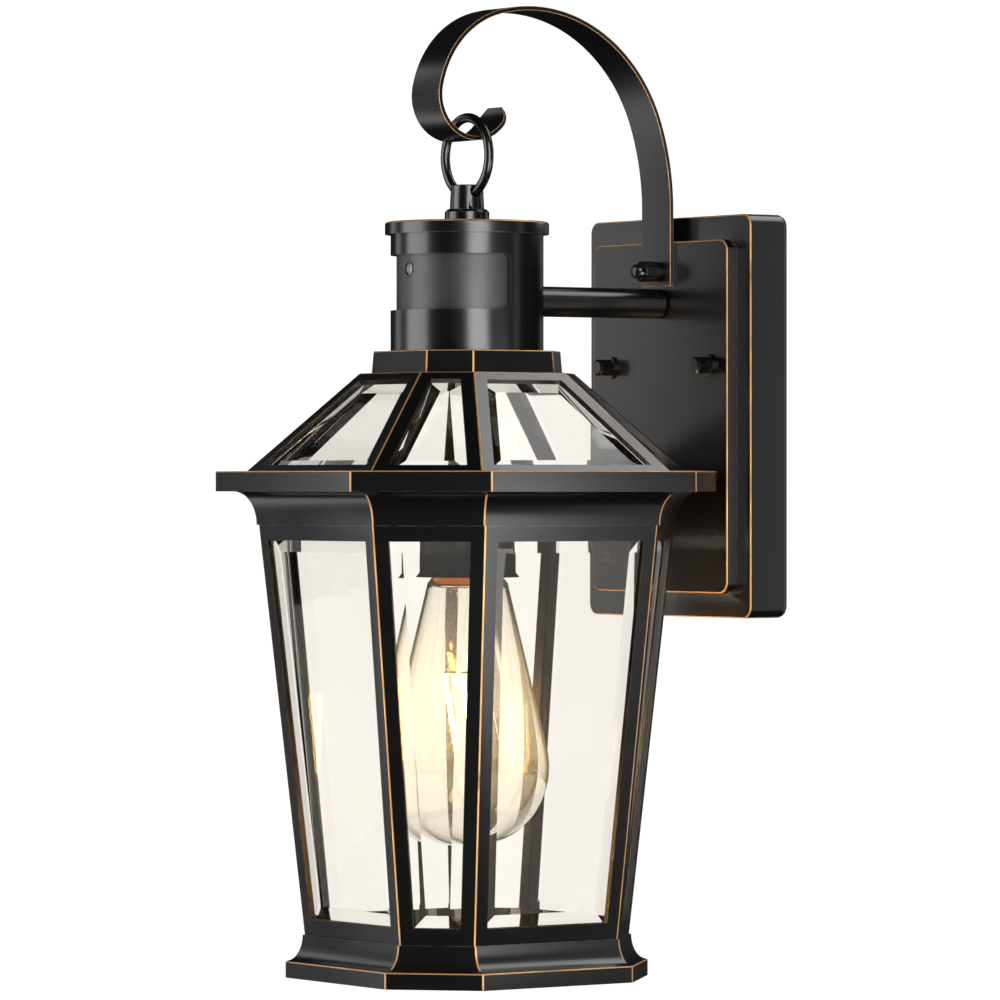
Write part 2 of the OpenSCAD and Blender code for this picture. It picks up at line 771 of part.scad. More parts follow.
module nipple_nuts() {
    color(zinc) on_axis() for (z = [housing_z0 + 2.5, collar_z0 - 2 - nipple_nut_t, cup_z1,
            cup_z1 - cup_wall - nipple_nut_t])
        translate([0, 0, z]) hex_nut(14, nipple_nut_t, arm_end_r);
}

module socket_cup() {
    lip_r = cup_r + 1.6;
    color(black_metal) on_axis() difference() {
        rotate_extrude() difference() {
            polygon([[0, cup_z1], [cup_r, cup_z1], [cup_r, lip_z + 2], [lip_r, lip_z], [0, lip_z]]);
            polygon([[0, cup_z1 - cup_wall], [cup_r - cup_wall, cup_z1 - cup_wall],
                [cup_r - cup_wall, lip_z + 1.6], [lip_r - cup_wall, lip_z - 0.1], [0, lip_z - 0.1]]);
        }
        translate([0, 0, cup_z1 - 5]) cylinder(r = arm_end_r, h = 10);
    }
}

module socket_body() {
    color(dark_plastic) on_axis() difference() {
        translate([0, 0, lip_z + 2.8]) cylinder(r = cup_r - cup_wall, h = body_top_z - lip_z - 2.8);
        translate([0, 0, lip_z]) cylinder(r = shell_r, h = body_top_z - 3 - lip_z);
    }
}

module socket_shell() {
    color("gold") on_axis() translate([0, 0, lip_z + 3.8]) difference() {
        cylinder(r = shell_r, h = body_top_z - 4 - lip_z - 3.8);
        translate([0, 0, -1]) cylinder(r = shell_r - 0.8, h = 40);
    }
}

module socket_contact() {
    color("gold") on_axis() translate([0, 0, contact_z]) {
        cylinder(r = 3.4, h = 1.2);
        cylinder(r = 1.6, h = body_top_z - 3 - contact_z);
    }
}

// Two supply leads along the arm and two lamp leads down the nipple
module inner_leads() {
    lead_r = 1;
    color(dark_plastic) for (x = [-1.5, 1.5]) translate([x, 0, 0]) {
        translate([0, 0, arm_z]) rod_y(lead_r, -reach + module_y1, -8);
        on_axis() translate([0, 0, body_top_z]) cylinder(r = lead_r, h = module_z0 - body_top_z);
    }
}

// The bulb: a straight-sided neck that runs tangent into a round end
module bulb_shape(grow) {
    far = norm([neck_r, bulb_z - neck_z]);
    tangent = 90 - atan2(neck_r, neck_z - bulb_z) - acos(bulb_r / far);
    touch_r = (bulb_r + grow) * cos(tangent);
    touch_z = bulb_z + (bulb_r + grow) * sin(tangent);
    translate([0, 0, bulb_z]) sphere(bulb_r + grow, $fn = 160);
    translate([0, 0, touch_z]) cylinder(r1 = touch_r, r2 = neck_r + grow, h = neck_z - touch_z);
}

module bulb_glass() {
    glass_t = 0.9;
    neck_bore_r = 11.3;
    color(clear_glass) on_axis() difference() {
        union() {
            bulb_shape(0);
            translate([0, 0, neck_z - 0.5]) cylinder(r = neck_bore_r + glass_t, h = 4.5);
        }
        intersection() {
            bulb_shape(-glass_t);
            translate([0, 0, neck_z - glass_t - 200]) cylinder(r = bulb_r, h = 200);
        }
        translate([0, 0, neck_z - 2]) cylinder(r = neck_bore_r, h = 7);
    }
}

module bulb_cap() {
    thread_r = 13.1;
    color("peru") on_axis() rotate_extrude() polygon([[12.4, neck_z], [neck_r, neck_z], [neck_r, neck_z + 0.8],
        [13.7, lip_z + 0.6], [thread_r, lip_z + 1.5], [thread_r, cap_end_z - 1], [thread_r - 2, cap_end_z],
        [9, cap_end_z], [9, cap_end_z - 0.6], [12.4, cap_end_z - 2]]);
}

module bulb_insulator() {
    color(dark_plastic) on_axis() translate([0, 0, cap_end_z]) cylinder(r1 = 9.5, r2 = 5, h = 2.4);
}

module bulb_contact() {
    color(zinc) on_axis() translate([0, 0, cap_end_z + 2.4]) cylinder(r1 = 4.6, r2 = 3.6, h = 1.2);
}

// The glass foot inside the bulb, flared at the neck and drawn down to a rod
module bulb_stem() {
    color(clear_glass) on_axis() rotate_extrude() polygon([[0, ring_z - 2], [1.4, ring_z - 2],
        [1.8, neck_z - 14], [4.2, neck_z - 6], [5, neck_z - 2], [11.2, neck_z + 4], [0, neck_z + 4]]);
}

// A thin rod between two points
module wire(p, q, r) {
    d = q - p;
    translate(p) rotate([0, acos(d[2] / norm(d)), atan2(d[1], d[0])]) cylinder(r = r, h = norm(d), $fn = 16);
}

module support_wires() {
    color(zinc) on_axis() {
        translate([0, 0, foot_ring_z - 14]) cylinder(r = 0.5, h = ring_z - 2 - foot_ring_z + 14, $fn = 16);
        translate([0, 0, ring_z - 1.2]) rotate_extrude() translate([filament_top_r, 0]) circle(0.4, $fn = 16);
        for (i = [0:filament_count - 1]) rotate([0, 0, i * 360 / filament_count]) {
            wire([0.2, 0, ring_z - 3.4], [filament_top_r, 0, ring_z - 1.2], 0.35);
            wire([0.2, 0, foot_ring_z - 3], [filament_foot_r, 0, foot_ring_z - 0.6], 0.35);
        }
    }
}

module filaments() {
    color("gold") on_axis() for (i = [0:filament_count - 1]) rotate([0, 0, i * 360 / filament_count])
        wire([filament_foot_r, 0, foot_ring_z], [filament_top_r, 0, ring_z - 2.2], 0.9);
}

wall_plate();
wall_gasket();
crossbar();
crossbar_studs();
stud_nuts();
ground_screw();
cap_nut_left();
cap_nut_right();
hook_strap();
hook_screw();
hook_nut();
arm_tube();
arm_nuts();
sensor_housing();
sensor_lens();
photocell();
sensor_board();
motion_sensor();
driver_module();
top_cap();
stem();
stem_nut();
hanging_ring();
roof_collar();
roof_frame();
roof_pane(0);  // roof_pane_1
roof_pane(1);  // roof_pane_2
roof_pane(2);  // roof_pane_3
roof_pane(3);  // roof_pane_4
roof_pane(4);  // roof_pane_5
roof_pane(5);  // roof_pane_6
roof_pane(6);  // roof_pane_7
roof_pane(7);  // roof_pane_8
eave_moulding();
body_frame();
body_pane(0);  // body_pane_1
body_pane(1);  // body_pane_2
body_pane(2);  // body_pane_3
body_pane(3);  // body_pane_4
body_pane(4);  // body_pane_5
body_pane(5);  // body_pane_6
body_pane(6);  // body_pane_7
body_pane(7);  // body_pane_8
pane_clips();
base_moulding();
frame_screws();
threaded_nipple();
nipple_nuts();
socket_cup();
socket_body();
socket_shell();
socket_contact();
inner_leads();
bulb_glass();
bulb_cap();
bulb_insulator();
bulb_contact();
bulb_stem();
support_wires();
filaments();
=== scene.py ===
# %% [markdown]
# # An outdoor wall lantern with a motion sensor
#
# The real lantern is a cast aluminium wall plate, a rolled strap hook, a round sensor housing on an arm,
# and an eight-sided glazed body with a filament bulb in it. All of the metal is painted satin black, and
# the paint is rubbed through to a copper tone along the edges that a hand would meet.
#
# The shapes and sizes come from a CAD frame. This script gives each piece its finish, softens and rubs
# the edges, and sets up the studio. It starts by loading the frame.

# %% Load the frame
import json
from math import atan2, cos, degrees, hypot, pi, radians, sin

import bmesh
import bpy
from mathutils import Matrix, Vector


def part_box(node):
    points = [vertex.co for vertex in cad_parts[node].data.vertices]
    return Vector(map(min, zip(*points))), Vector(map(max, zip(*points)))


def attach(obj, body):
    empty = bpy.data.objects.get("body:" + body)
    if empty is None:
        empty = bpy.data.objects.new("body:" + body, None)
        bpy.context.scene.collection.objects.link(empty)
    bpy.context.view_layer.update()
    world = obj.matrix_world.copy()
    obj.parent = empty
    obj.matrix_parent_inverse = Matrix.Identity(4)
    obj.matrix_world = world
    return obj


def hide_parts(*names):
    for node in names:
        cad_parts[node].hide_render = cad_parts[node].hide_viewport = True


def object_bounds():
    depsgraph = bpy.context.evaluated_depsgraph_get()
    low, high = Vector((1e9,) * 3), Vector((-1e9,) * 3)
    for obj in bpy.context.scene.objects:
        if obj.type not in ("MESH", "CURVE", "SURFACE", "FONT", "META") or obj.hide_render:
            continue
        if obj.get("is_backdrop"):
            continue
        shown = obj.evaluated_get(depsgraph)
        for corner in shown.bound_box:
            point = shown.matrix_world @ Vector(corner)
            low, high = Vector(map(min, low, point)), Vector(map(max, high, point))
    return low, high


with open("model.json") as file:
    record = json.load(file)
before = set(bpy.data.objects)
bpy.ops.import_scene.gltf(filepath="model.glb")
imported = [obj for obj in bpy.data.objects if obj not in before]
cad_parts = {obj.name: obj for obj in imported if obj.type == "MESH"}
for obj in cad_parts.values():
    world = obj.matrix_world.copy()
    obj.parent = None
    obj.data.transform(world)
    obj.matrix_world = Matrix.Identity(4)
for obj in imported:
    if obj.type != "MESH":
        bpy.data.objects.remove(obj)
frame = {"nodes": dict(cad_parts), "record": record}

MM = 0.001
cad_low, cad_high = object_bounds()
scene = bpy.context.scene
cad_size = (cad_high - cad_low) / MM
print(f"{len(frame['nodes'])} CAD pieces, {cad_size.x:.1f} x {cad_size.y:.1f} x {cad_size.z:.1f} mm")

# %% [markdown]
# ## Landmarks
#
# Every piece sits around the lantern's upright axis or on the wall plate. Instead of repeating CAD sizes
# here, the places are read from the boxes of the CAD pieces.

# %% Landmarks read from the frame
def middle(node):
    low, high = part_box(node)
    return (low + high) / 2


AXIS_Y = middle("stem").y
BODY_OF = {
    node: body
    for body, nodes in frame["record"]["behaviour"]["bodies"].items()
    for node in nodes
}
SLOT_OF = {part["node"]: part["material_slot"] for part in frame["record"]["subparts"]}
print(f"the lantern's axis is {-AXIS_Y / MM:.1f} mm in front of the wall")


def from_axis(point):
    """How far a point is from the lantern's upright axis."""
    return hypot(point.x, point.y - AXIS_Y)


# %% [markdown]
# ## Camera
#
# A long lens from two and a half metres keeps the sides of the octagon in proportion. The camera is level
# and stands at the height of the roof's lower edge. So the uprights stay upright, the sensor is seen from
# a little below, and the body from a little above.

# %% Camera
CAMERA_TURN = radians(55.24)     # from straight in front, towards the right side
CAMERA_DISTANCE = 2.553
CAMERA_LENS = 221.5
aim = Vector((7.7 * MM, AXIS_Y + 11.3 * MM, -28.95 * MM))
away = Vector((sin(CAMERA_TURN), -cos(CAMERA_TURN), 0))

camera = bpy.data.objects.new("camera", bpy.data.cameras.new("camera"))
scene.collection.objects.link(camera)
camera.location = aim + away * CAMERA_DISTANCE
camera.rotation_euler = (-away).to_track_quat("-Z", "Y").to_euler()
camera.data.sensor_width = 36
camera.data.lens = CAMERA_LENS
camera.data.shift_y = -0.0145
scene.camera = camera
print(f"camera {CAMERA_DISTANCE:.2f} m away, {degrees(CAMERA_TURN):.1f} degrees round")

# %% [markdown]
# ## Room
#
# Black paint shows nothing but reflections, so the room matters as much as the paint. What the camera
# sees, directly or through glass, is plain white. What the paint reflects is a nearly black room, and
# only the softboxes are bright in it. A Light Path node tells these rays apart: a ray counts as looking
# straight out while it has not yet bounced off anything, glossy or dull.

# %% Room
def add(tree, kind, x=0, y=0, **settings):
    """Adds a node and sets its properties."""
    made = tree.nodes.new(kind)
    made.location = (x * 200, y * 200)
    for key, value in settings.items():
        setattr(made, key, value)
    return made


BACKDROP = (1.1, 1.1, 1.1, 1)
ROOM_HIGH = (0.02, 0.02, 0.02, 1)
ROOM_LOW = (0.004, 0.004, 0.004, 1)

world = bpy.data.worlds.new("studio")
scene.world = world
world.use_nodes = True
sky = world.node_tree
sky.nodes.clear()
rays = add(sky, "ShaderNodeLightPath", -4, 1)
place = add(sky, "ShaderNodeTexCoord", -4, -1)
split = add(sky, "ShaderNodeSeparateXYZ", -3, -1)
height = add(sky, "ShaderNodeMapRange", -2, -1)
height.inputs["From Min"].default_value = -1
room = add(sky, "ShaderNodeMix", -1, -1, data_type="RGBA")
room.inputs["A"].default_value = ROOM_LOW
room.inputs["B"].default_value = ROOM_HIGH
seen = add(sky, "ShaderNodeMath", -2, 1, operation="ADD", use_clamp=True)
bounces = add(sky, "ShaderNodeMath", -3, 2, operation="ADD")
straight = add(sky, "ShaderNodeMath", -2, 2, operation="LESS_THAN")
straight.inputs[1].default_value = 0.5    # fewer than one bounce
through = add(sky, "ShaderNodeMath", -1, 1, operation="MULTIPLY")
chosen = add(sky, "ShaderNodeMix", 0, 0, data_type="RGBA")
chosen.inputs["B"].default_value = BACKDROP
background = add(sky, "ShaderNodeBackground", 1, 0)
output = add(sky, "ShaderNodeOutputWorld", 2, 0)
sky.links.new(place.outputs["Generated"], split.inputs[0])
sky.links.new(split.outputs["Z"], height.inputs["Value"])
sky.links.new(height.outputs["Result"], room.inputs["Factor"])
sky.links.new(rays.outputs["Is Camera Ray"], seen.inputs[0])
sky.links.new(rays.outputs["Is Transmission Ray"], seen.inputs[1])
sky.links.new(rays.outputs["Glossy Depth"], bounces.inputs[0])
sky.links.new(rays.outputs["Diffuse Depth"], bounces.inputs[1])
sky.links.new(bounces.outputs[0], straight.inputs[0])
sky.links.new(seen.outputs[0], through.inputs[0])
sky.links.new(straight.outputs[0], through.inputs[1])
sky.links.new(through.outputs[0], chosen.inputs["Factor"])
sky.links.new(room.outputs["Result"], chosen.inputs["A"])
sky.links.new(chosen.outputs["Result"], background.inputs["Color"])
sky.links.new(background.outputs["Background"], output.inputs["Surface"])
scene.view_settings.view_transform = "Standard"
print("room: white behind, nearly black in reflections")

# %% [markdown]
# ## Softboxes
#
# Each softbox is an area light aimed at the lantern. Seen from the main camera, each has its own job:
#
# - the key: the brightest band on the housing, the narrow middle faces and the step of the plate;
# - the left one: the housing's left bands and the faces left of the middle;
# - the low right one: the right-hand faces of the eave, body and base, almost clear of the housing;
# - the plate side one: the outer side of the plate and a thin band on the housing's right;
# - the plate face one: the front of the plate, the strap and the leftmost faces of the body;
# - the rear one: hardly more than a line on the body's right edge;
# - the high one: the right-hand roof bars, the top of the arm and the plate's upper edge.
#
# They are hidden from the camera and from rays through the glass.

# %% Softboxes
LIGHT_AIM = Vector((0, AXIS_Y / 2, -30 * MM))


def softbox(name, turn, rise, distance, width, tall, brightness, aim_z=LIGHT_AIM.z):
    """A soft light. turn is measured like the camera's, and brightness is the panel's own."""
    lamp = bpy.data.lights.new(name, "AREA")
    lamp.shape = "RECTANGLE"
    lamp.size = width
    lamp.size_y = tall
    lamp.energy = brightness * pi * width * tall
    box = bpy.data.objects.new(name, lamp)
    scene.collection.objects.link(box)
    a = radians(turn)
    e = radians(rise)
    out = Vector((sin(a) * cos(e), -cos(a) * cos(e), sin(e)))
    box.location = Vector((LIGHT_AIM.x, LIGHT_AIM.y, aim_z)) + out * distance
    box.rotation_euler = (-out).to_track_quat("-Z", "Y").to_euler()
    box.visible_camera = False
    box.visible_transmission = False
    print(f"{name}: {lamp.energy:.1f} W, {width} x {tall} m")


softbox("softbox_key", 69, 2, 1.1, 0.56, 1.4, 5.2)
softbox("softbox_left", -22, 0, 0.60, 0.38, 0.9, 2.8)
softbox("softbox_low_right", 101, 0, 0.5, 0.20, 0.24, 3.2, -115 * MM)
softbox("softbox_plate_side", 130, 0, 0.6, 0.10, 0.9, 0.5)
softbox("softbox_plate_face", -63, 0, 0.6, 0.14, 0.9, 0.9)
softbox("softbox_rear", 182, 0, 1.2, 0.50, 1.2, 1.6)
softbox("softbox_high", 165, 52, 1.1, 0.80, 0.45, 2.6)

# %% [markdown]
# ## Floor
#
# The lantern hangs high on a wall, so the floor is far below it and out of the main view. It only shows
# from above, and there it should be as pale as the room, so it glows a little. It is left out of
# reflections, which belong to the softboxes.

# %% Floor
FLOOR_DROP = 2.6
FLOOR_HALF = 16.0
FLOOR_GLOW = 1.05


def stage_floor():
    """A pale floor with a barely uneven surface."""
    finish = bpy.data.materials.new("studio_floor")
    finish.use_nodes = True
    tree = finish.node_tree
    shader = tree.nodes["Principled BSDF"]
    grain = add(tree, "ShaderNodeTexNoise", -3)
    grain.inputs["Scale"].default_value = 3
    shade = add(tree, "ShaderNodeMapRange", -2)
    shade.inputs["To Min"].default_value = 0.86
    shade.inputs["To Max"].default_value = 0.90
    tree.links.new(grain.outputs["Fac"], shade.inputs["Value"])
    tree.links.new(shade.outputs["Result"], shader.inputs["Base Color"])
    shader.inputs["Roughness"].default_value = 0.8
    tree.links.new(shade.outputs["Result"], shader.inputs["Emission Color"])
    shader.inputs["Emission Strength"].default_value = FLOOR_GLOW
    mesh = bpy.data.meshes.new("studio_floor")
    signs = ((-1, -1), (1, -1), (1, 1), (-1, 1))
    corners = [(x * FLOOR_HALF, y * FLOOR_HALF, -FLOOR_DROP) for x, y in signs]
    mesh.from_pydata(corners, [], [(0, 1, 2, 3)])
    mesh.materials.append(finish)
    floor = bpy.data.objects.new("studio_floor", mesh)
    scene.collection.objects.link(floor)
    floor.visible_glossy = False
    floor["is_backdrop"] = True
    return floor


stage_floor()
print(f"floor {FLOOR_DROP} m under the wall plate's centre")

# %% [markdown]
# ## Shared effects: paint that is not quite even
#
# Sprayed paint is never one flat colour. It has a slow drift in tone and gloss, and a fine orange peel
# that breaks up reflections. Several finishes need this, so it is a shader node group with named inputs.
# A group only works out colours and values: the shader that uses them stays in each material.
#
# First come the helpers that every group is made with.

# %% Helpers for node groups
def new_group(name, inputs, outputs):
    """An empty shader node group, its input node and its output node."""
    tree = bpy.data.node_groups.new(name, "ShaderNodeTree")
    for label, kind, value in inputs:
        socket = tree.interface.new_socket(name=label, in_out="INPUT", socket_type="NodeSocket" + kind)
        socket.default_value = value
    for label, kind in outputs:
        tree.interface.new_socket(name=label, in_out="OUTPUT", socket_type="NodeSocket" + kind)
    return tree, add(tree, "NodeGroupInput", -6), add(tree, "NodeGroupOutput", 4)


def ranged(tree, source, low, high, x=0, y=0, start=0.3, stop=0.7):
    """Maps a noise's middle range onto low to high. low and high are numbers or sockets."""
    made = add(tree, "ShaderNodeMapRange", x, y)
    made.inputs["From Min"].default_value = start
    made.inputs["From Max"].default_value = stop
    tree.links.new(source, made.inputs["Value"])
    for label, value in (("To Min", low), ("To Max", high)):
        if isinstance(value, bpy.types.NodeSocket):
            tree.links.new(value, made.inputs[label])
        else:
            made.inputs[label].default_value = value
    return made.outputs["Result"]


def combined(tree, a, b, operation="ADD", x=0, y=0):
    """Adds, multiplies or subtracts two values. Each is a number or a socket."""
    made = add(tree, "ShaderNodeMath", x, y, operation=operation)
    for slot, value in zip(made.inputs, (a, b)):
        if isinstance(value, bpy.types.NodeSocket):
            tree.links.new(value, slot)
        else:
            slot.default_value = value
    return made.outputs[0]


def noise(tree, scale, detail=3, x=0, y=0, coordinates=None):
    """A noise in the object's own metres."""
    made = add(tree, "ShaderNodeTexNoise", x, y)
    made.inputs["Detail"].default_value = detail
    if isinstance(scale, bpy.types.NodeSocket):
        tree.links.new(scale, made.inputs["Scale"])
    else:
        made.inputs["Scale"].default_value = scale
    if coordinates is None:
        coordinates = add(tree, "ShaderNodeTexCoord", x - 1, y).outputs["Object"]
    tree.links.new(coordinates, made.inputs["Vector"])
    return made.outputs["Fac"]


# %% [markdown]
# Now the group itself. One slow noise drives both the tone and the gloss, so a patch that is a little
# lighter is also a little smoother, and one fine noise gives the height.

# %% Group: an uneven surface
def make_uneven():
    """Colour, roughness and height that drift slowly and carry a fine grain."""
    tree, given, result = new_group(
        "uneven surface",
        [
            ("Color", "Color", (0.5, 0.5, 0.5, 1)),
            ("Roughness", "Float", 0.4),
            ("Drift", "Float", 0.1),
            ("Patch Scale", "Float", 40),
            ("Grain Scale", "Float", 2500),
        ],
        [("Color", "Color"), ("Roughness", "Float"), ("Height", "Float")],
    )
    patches = noise(tree, given.outputs["Patch Scale"], 4, -3, 1)
    grain = noise(tree, given.outputs["Grain Scale"], 2, -3, -2)
    drift = given.outputs["Drift"]
    darker = combined(tree, 1, drift, "SUBTRACT", -4, 2)
    lighter = combined(tree, 1, drift, "ADD", -4, 3)
    tone = ranged(tree, patches, darker, lighter, -1, 2)
    tinted = add(tree, "ShaderNodeVectorMath", 1, 2, operation="SCALE")
    tree.links.new(given.outputs["Color"], tinted.inputs["Vector"])
    tree.links.new(tone, tinted.inputs["Scale"])
    gloss = ranged(tree, patches, lighter, darker, -1, 0)
    rough = combined(tree, given.outputs["Roughness"], gloss, "MULTIPLY", 1, 0)
    tree.links.new(tinted.outputs["Vector"], result.inputs["Color"])
    tree.links.new(rough, result.inputs["Roughness"])
    tree.links.new(grain, result.inputs["Height"])
    return tree


UNEVEN = make_uneven()
print(f"group {UNEVEN.name}: {len(UNEVEN.nodes)} nodes")

# %% [markdown]
# ## Shared effects: worn edges
#
# Handling polishes the sharp edges of a painted casting first. The Bevel node bends the normal near an
# edge, so comparing it with the true normal gives a mask of the edges at any place on any mesh. Noise
# breaks the mask up, because no edge wears evenly.

# %% Group: worn edges
def make_edges():
    """A mask that is 1 on sharp edges and 0 on open faces, broken up along the edge."""
    tree, given, result = new_group(
        "worn edges",
        [("Reach", "Float", 0.4 * MM), ("Break Scale", "Float", 300), ("Amount", "Float", 1)],
        [("Mask", "Float")],
    )
    rounded = add(tree, "ShaderNodeBevel", -4, 1, samples=4)
    tree.links.new(given.outputs["Reach"], rounded.inputs["Radius"])
    surface = add(tree, "ShaderNodeNewGeometry", -4, 0)
    turned = add(tree, "ShaderNodeVectorMath", -3, 1, operation="DOT_PRODUCT")
    tree.links.new(rounded.outputs["Normal"], turned.inputs[0])
    tree.links.new(surface.outputs["Normal"], turned.inputs[1])
    edge = ranged(tree, turned.outputs["Value"], 1, 0, -2, 1, 0.90, 0.995)
    patches = noise(tree, given.outputs["Break Scale"], 3, -3, -2)
    worn = ranged(tree, patches, 0.15, 1, -2, -2, 0.4, 0.6)
    broken = combined(tree, edge, worn, "MULTIPLY", 0, 0)
    amount = combined(tree, broken, given.outputs["Amount"], "MULTIPLY", 2, 0)
    tree.links.new(amount, result.inputs["Mask"])
    return tree


EDGES = make_edges()
print(f"group {EDGES.name}: {len(EDGES.nodes)} nodes")

# %% [markdown]
# ## Shared effects: drawn metal
#
# Wire, tube and sheet metal carry fine lines in the direction in which they were drawn or brushed. A
# noise squeezed along one axis gives them.

# %% Group: drawn metal
def make_drawn():
    """Colour, roughness and height with fine lines. Stretch is how often the noise repeats each way."""
    tree, given, result = new_group(
        "drawn metal",
        [
            ("Color", "Color", (0.6, 0.6, 0.6, 1)),
            ("Roughness", "Float", 0.3),
            ("Stretch", "Vector", (2500, 120, 2500)),
        ],
        [("Color", "Color"), ("Roughness", "Float"), ("Height", "Float")],
    )
    place = add(tree, "ShaderNodeTexCoord", -5, 1)
    squeezed = add(tree, "ShaderNodeVectorMath", -4, 1, operation="MULTIPLY")
    tree.links.new(place.outputs["Object"], squeezed.inputs[0])
    tree.links.new(given.outputs["Stretch"], squeezed.inputs[1])
    lines = noise(tree, 1, 3, -3, 1, squeezed.outputs["Vector"])
    stains = noise(tree, 60, 3, -3, -1)
    tone = ranged(tree, lines, 0.85, 1.1, -1, 2)
    tinted = add(tree, "ShaderNodeVectorMath", 1, 2, operation="SCALE")
    tree.links.new(given.outputs["Color"], tinted.inputs["Vector"])
    tree.links.new(tone, tinted.inputs["Scale"])
    dulled = ranged(tree, stains, 0.8, 1.3, -1, -1)
    rough = combined(tree, given.outputs["Roughness"], dulled, "MULTIPLY", 1, -1)
    tree.links.new(tinted.outputs["Vector"], result.inputs["Color"])
    tree.links.new(rough, result.inputs["Roughness"])
    tree.links.new(lines, result.inputs["Height"])
    return tree


DRAWN = make_drawn()
print(f"group {DRAWN.name}: {len(DRAWN.nodes)} nodes")

# %% [markdown]
# ## A starting point for every finish
#
# Each finish below is its own Principled material. This cell holds the few steps that they share: make
# the material, place a group in it, and turn a height into a bump of a real depth.

# %% Helpers for finishes
def new_finish(name):
    """A node material, its tree and its shader."""
    finish = bpy.data.materials.new(name)
    finish.use_nodes = True
    tree = finish.node_tree
    shader = tree.nodes["Principled BSDF"]
    shader.location = (600, 0)
    tree.nodes["Material Output"].location = (1100, 0)
    return finish, tree, shader


def use(tree, group, x=-3, y=0, **values):
    """Places a node group and sets its inputs. A name's underscores stand for spaces."""
    made = add(tree, "ShaderNodeGroup", x, y, node_tree=group)
    for key, value in values.items():
        made.inputs[key.replace("_", " ")].default_value = value
    return made


def bump(tree, shader, height, depth, strength=0.5):
    """Feeds a height to the shader's normal. depth is in metres."""
    made = add(tree, "ShaderNodeBump", 1, -3)
    made.inputs["Strength"].default_value = strength
    made.inputs["Distance"].default_value = depth
    tree.links.new(height, made.inputs["Height"])
    tree.links.new(made.outputs["Normal"], shader.inputs["Normal"])


def surface_from(tree, shader, group, depth, strength=0.5):
    """Takes colour, roughness and bump from a placed group."""
    tree.links.new(group.outputs["Color"], shader.inputs["Base Color"])
    tree.links.new(group.outputs["Roughness"], shader.inputs["Roughness"])
    bump(tree, shader, group.outputs["Height"], depth, strength)


def mixed(tree, mask, base, over, x=0, y=0):
    """A colour mix. base and over are sockets or colours."""
    made = add(tree, "ShaderNodeMix", x, y, data_type="RGBA")
    tree.links.new(mask, made.inputs["Factor"])
    for label, value in (("A", base), ("B", over)):
        if isinstance(value, bpy.types.NodeSocket):
            tree.links.new(value, made.inputs[label])
        else:
            made.inputs[label].default_value = value
    return made.outputs["Result"]


FINISH = {}

# %% [markdown]
# ## Black paint
#
# The coat is a satin black with a warm undertone, smooth enough to carry long soft reflections. On its
# sharp edges a little brown shows through. The same recipe is made twice, because the thumb screw, the cap
# nuts, the ring, the arm and the socket cup show next to no wear.

# %% Black paint
COAT_COLOR = (0.0022, 0.0021, 0.0020, 1)
COPPER_COLOR = (0.62, 0.33, 0.13, 1)


def black_paint(name, wear):
    """Satin black paint. Wear is how much copper tone shows on its sharp edges."""
    finish, tree, shader = new_finish(name)
    coat = use(tree, UNEVEN, Color=COAT_COLOR, Roughness=0.25, Drift=0.08, Patch_Scale=28,
               Grain_Scale=2600)
    worn = use(tree, EDGES, y=2, Reach=0.35 * MM, Break_Scale=220, Amount=wear)
    surface_from(tree, shader, coat, 0.02 * MM, 0.10)
    shade = mixed(tree, worn.outputs["Mask"], coat.outputs["Color"], COPPER_COLOR)
    tree.links.new(shade, shader.inputs["Base Color"])
    shader.inputs["Specular IOR Level"].default_value = 0.75
    shader.inputs["Coat Weight"].default_value = 0.35
    shader.inputs["Coat Roughness"].default_value = 0.20
    return finish


FINISH["black_metal"] = black_paint("satin_black_paint", 0.22)
FRESH_BLACK = black_paint("unrubbed_black_paint", 0.03)
print("paint:", FINISH["black_metal"].name, "and", FRESH_BLACK.name)

# %% [markdown]
# ## The rubbed copper lines
#
# The rubbed lines are a finish of their own: a copper paint that is lighter where it was rubbed hard and
# nearly black where the rag missed. The same noise takes the metallic shine away where the paint stays.

# %% Copper rub
RAG_SCALE = 60
RAG_MISSED = (0.60, 0.76)        # noise values between which the rub fades out


def copper_rub():
    """Copper showing through black paint, with places that the rag missed."""
    finish, tree, shader = new_finish("rubbed_copper_edge")
    rub = use(tree, UNEVEN, Color=COPPER_COLOR, Roughness=0.42, Drift=0.22, Patch_Scale=90,
              Grain_Scale=1800)
    surface_from(tree, shader, rub, 0.02 * MM, 0.3)
    missed = ranged(tree, noise(tree, RAG_SCALE, 4, -5, 3), 0, 0.75, -3, 3, *RAG_MISSED)
    shade = mixed(tree, missed, rub.outputs["Color"], COAT_COLOR)
    tree.links.new(shade, shader.inputs["Base Color"])
    metal = ranged(tree, noise(tree, RAG_SCALE, 4, -5, 4), 0.55, 0.0, -3, 4, *RAG_MISSED)
    tree.links.new(metal, shader.inputs["Metallic"])
    return finish


COPPER = copper_rub()
print("rubbed lines:", COPPER.name)

# %% [markdown]
# ## Glass
#
# The panes are thick clear glass with ground bevels, faintly warm in colour. Light from lamps would need
# very many samples to find its way through real refraction, so for shadow rays the glass steps aside: a
# Light Path node swaps in a Transparent shader there.

# %% Glass
GLASS_ROUGHNESS = 0.012
PANE_SHINE = 0.06                # real glass is 0.5 here; less keeps the panes clear of reflections


